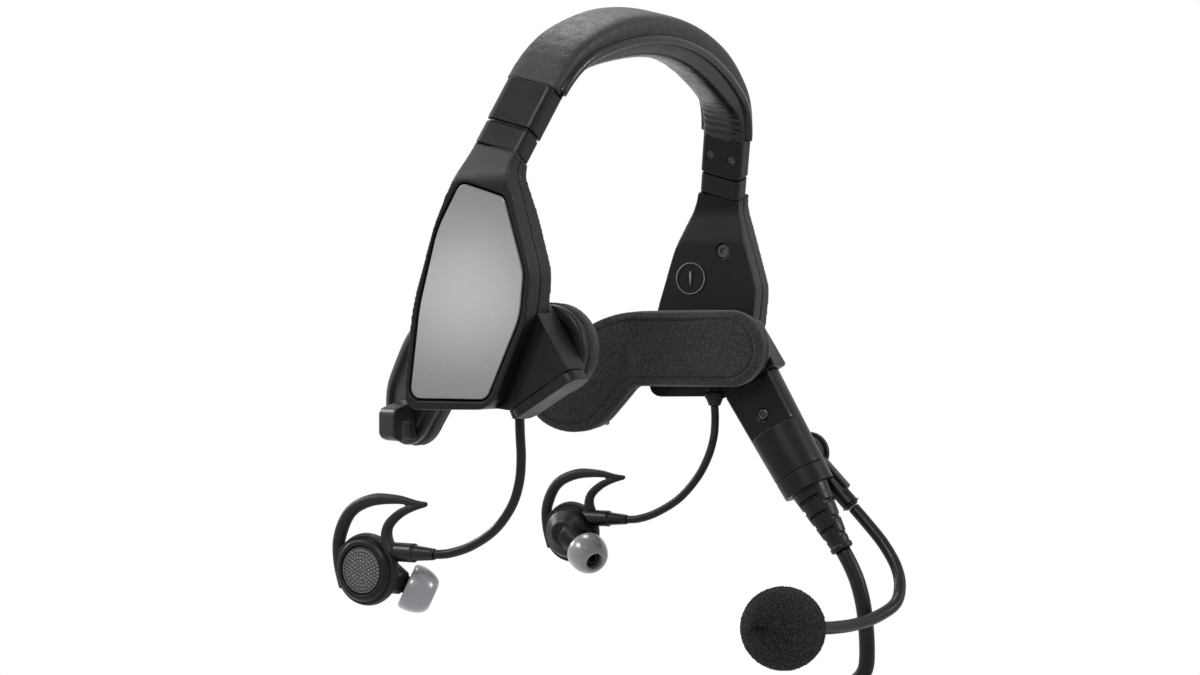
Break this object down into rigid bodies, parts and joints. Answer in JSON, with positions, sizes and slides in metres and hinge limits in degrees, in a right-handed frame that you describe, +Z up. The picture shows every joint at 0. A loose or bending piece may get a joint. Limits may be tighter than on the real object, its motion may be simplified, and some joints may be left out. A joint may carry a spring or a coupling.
{
  "type": "aviation headset",
  "caption": "Over-the-head headset with temple pads, in-ear buds on short cables, boom microphone and down cable",
  "frame": {"origin": "middle of the wearer's head, half way between the two pad faces and 3.5 mm above the pads' middle", "axes": "+Z up, +X to the wearer's left, the wearer faces -Y"},
  "size_m": [0.1671, 0.1626, 0.3279],
  "materials": {
    "leather": "grained black leather",
    "padding": "smooth black leatherette over foam",
    "band_steel": "spring steel",
    "black_plastic": "black plastic, fine moulded grain",
    "dark_plastic": "smooth black plastic",
    "face_grey": "satin grey paint",
    "screw_steel": "black oxide steel",
    "microsuede": "speckled black microsuede",
    "cable_rubber": "satin black cable jacket",
    "grille_steel": "dark perforated steel",
    "driver_metal": "driver can",
    "wing_silicone": "dark silicone",
    "tip_silicone": "grey translucent silicone",
    "foam": "open-cell black foam",
    "brass": "turned brass plug"
  },
  "bodies": {
    "headband": {"headband_cover": "leather", "headband_cushion": "padding", "headband_spring": "band_steel", "left_collar": "black_plastic", "right_collar": "black_plastic", "collar_screws": "screw_steel"},
    "left_arm": {"left_tongue": "band_steel", "left_slider_cap": "black_plastic", "left_outer_shell": "black_plastic", "left_inner_shell": "black_plastic", "left_face_plate": "face_grey", "left_port_housing": "black_plastic", "left_pod_screws": "screw_steel", "left_grommet": "cable_rubber", "module_tube": "black_plastic", "module_saddle": "dark_plastic", "module_end_ring": "black_plastic", "cable_boot": "cable_rubber", "boom_knob": "black_plastic", "down_cable": "cable_rubber", "cable_hank": "cable_rubber", "cable_tie": "cable_rubber", "cable_tail": "cable_rubber", "plug_handle": "dark_plastic", "plug_finger": "brass"},
    "left_pad": {"left_pad_carrier": "black_plastic", "left_pad_cushion": "microsuede", "left_cable_clip": "black_plastic"},
    "left_earbud": {"left_ear_cable": "cable_rubber", "left_bud_housing": "black_plastic", "left_bud_grille": "grille_steel", "left_bud_driver": "driver_metal", "left_bud_boot": "dark_plastic", "left_ear_wing": "wing_silicone", "left_ear_tip": "tip_silicone"},
    "right_arm": {"right_tongue": "band_steel", "right_slider_cap": "black_plastic", "right_outer_shell": "black_plastic", "right_inner_shell": "black_plastic", "right_face_plate": "face_grey", "right_port_housing": "black_plastic", "right_pod_screws": "screw_steel", "right_grommet": "cable_rubber", "right_port_cover": "black_plastic"},
    "right_pad": {"right_pad_carrier": "black_plastic", "right_pad_cushion": "microsuede", "right_cable_clip": "black_plastic"},
    "right_earbud": {"right_ear_cable": "cable_rubber", "right_bud_housing": "black_plastic", "right_bud_grille": "grille_steel", "right_bud_driver": "driver_metal", "right_bud_boot": "dark_plastic", "right_ear_wing": "wing_silicone", "right_ear_tip": "tip_silicone"},
    "boom": {"boom_arm": "black_plastic", "gooseneck": "cable_rubber", "mic_capsule": "driver_metal", "windscreen": "foam"}
  },
  "joints": [
    {"name": "left_slide", "type": "slide", "parent": "headband", "child": "left_arm", "axis": [0.4067, 0.2671, -0.8736], "range_m": [0, 0.018]},
    {"name": "left_pad_turn", "type": "hinge", "parent": "left_arm", "child": "left_pad", "pos_m": [0.066, -0.001, -0.0035], "axis": [1, 0, 0], "range_deg": [-10, 10]},
    {"name": "left_earbud_swing", "type": "hinge", "parent": "left_arm", "child": "left_earbud", "pos_m": [0.0628, -0.0096, -0.023], "axis": [1, 0, 0], "range_deg": [-20, 10], "stiffness_Nm_per_rad": 0.2},
    {"name": "right_slide", "type": "slide", "parent": "headband", "child": "right_arm", "axis": [-0.4067, 0.2671, -0.8736], "range_m": [0, 0.018]},
    {"name": "right_pad_turn", "type": "hinge", "parent": "right_arm", "child": "right_pad", "pos_m": [-0.066, -0.001, -0.0035], "axis": [1, 0, 0], "range_deg": [-10, 10]},
    {"name": "right_earbud_swing", "type": "hinge", "parent": "right_arm", "child": "right_earbud", "pos_m": [-0.0628, -0.0096, -0.023], "axis": [1, 0, 0], "range_deg": [-20, 10], "stiffness_Nm_per_rad": 0.2},
    {"name": "boom_swing", "type": "hinge", "parent": "left_arm", "child": "boom", "pos_m": [0.0686, -0.03533, -0.03937], "axis": [1, 0, 0], "range_deg": [-100, 5]}
  ]
}
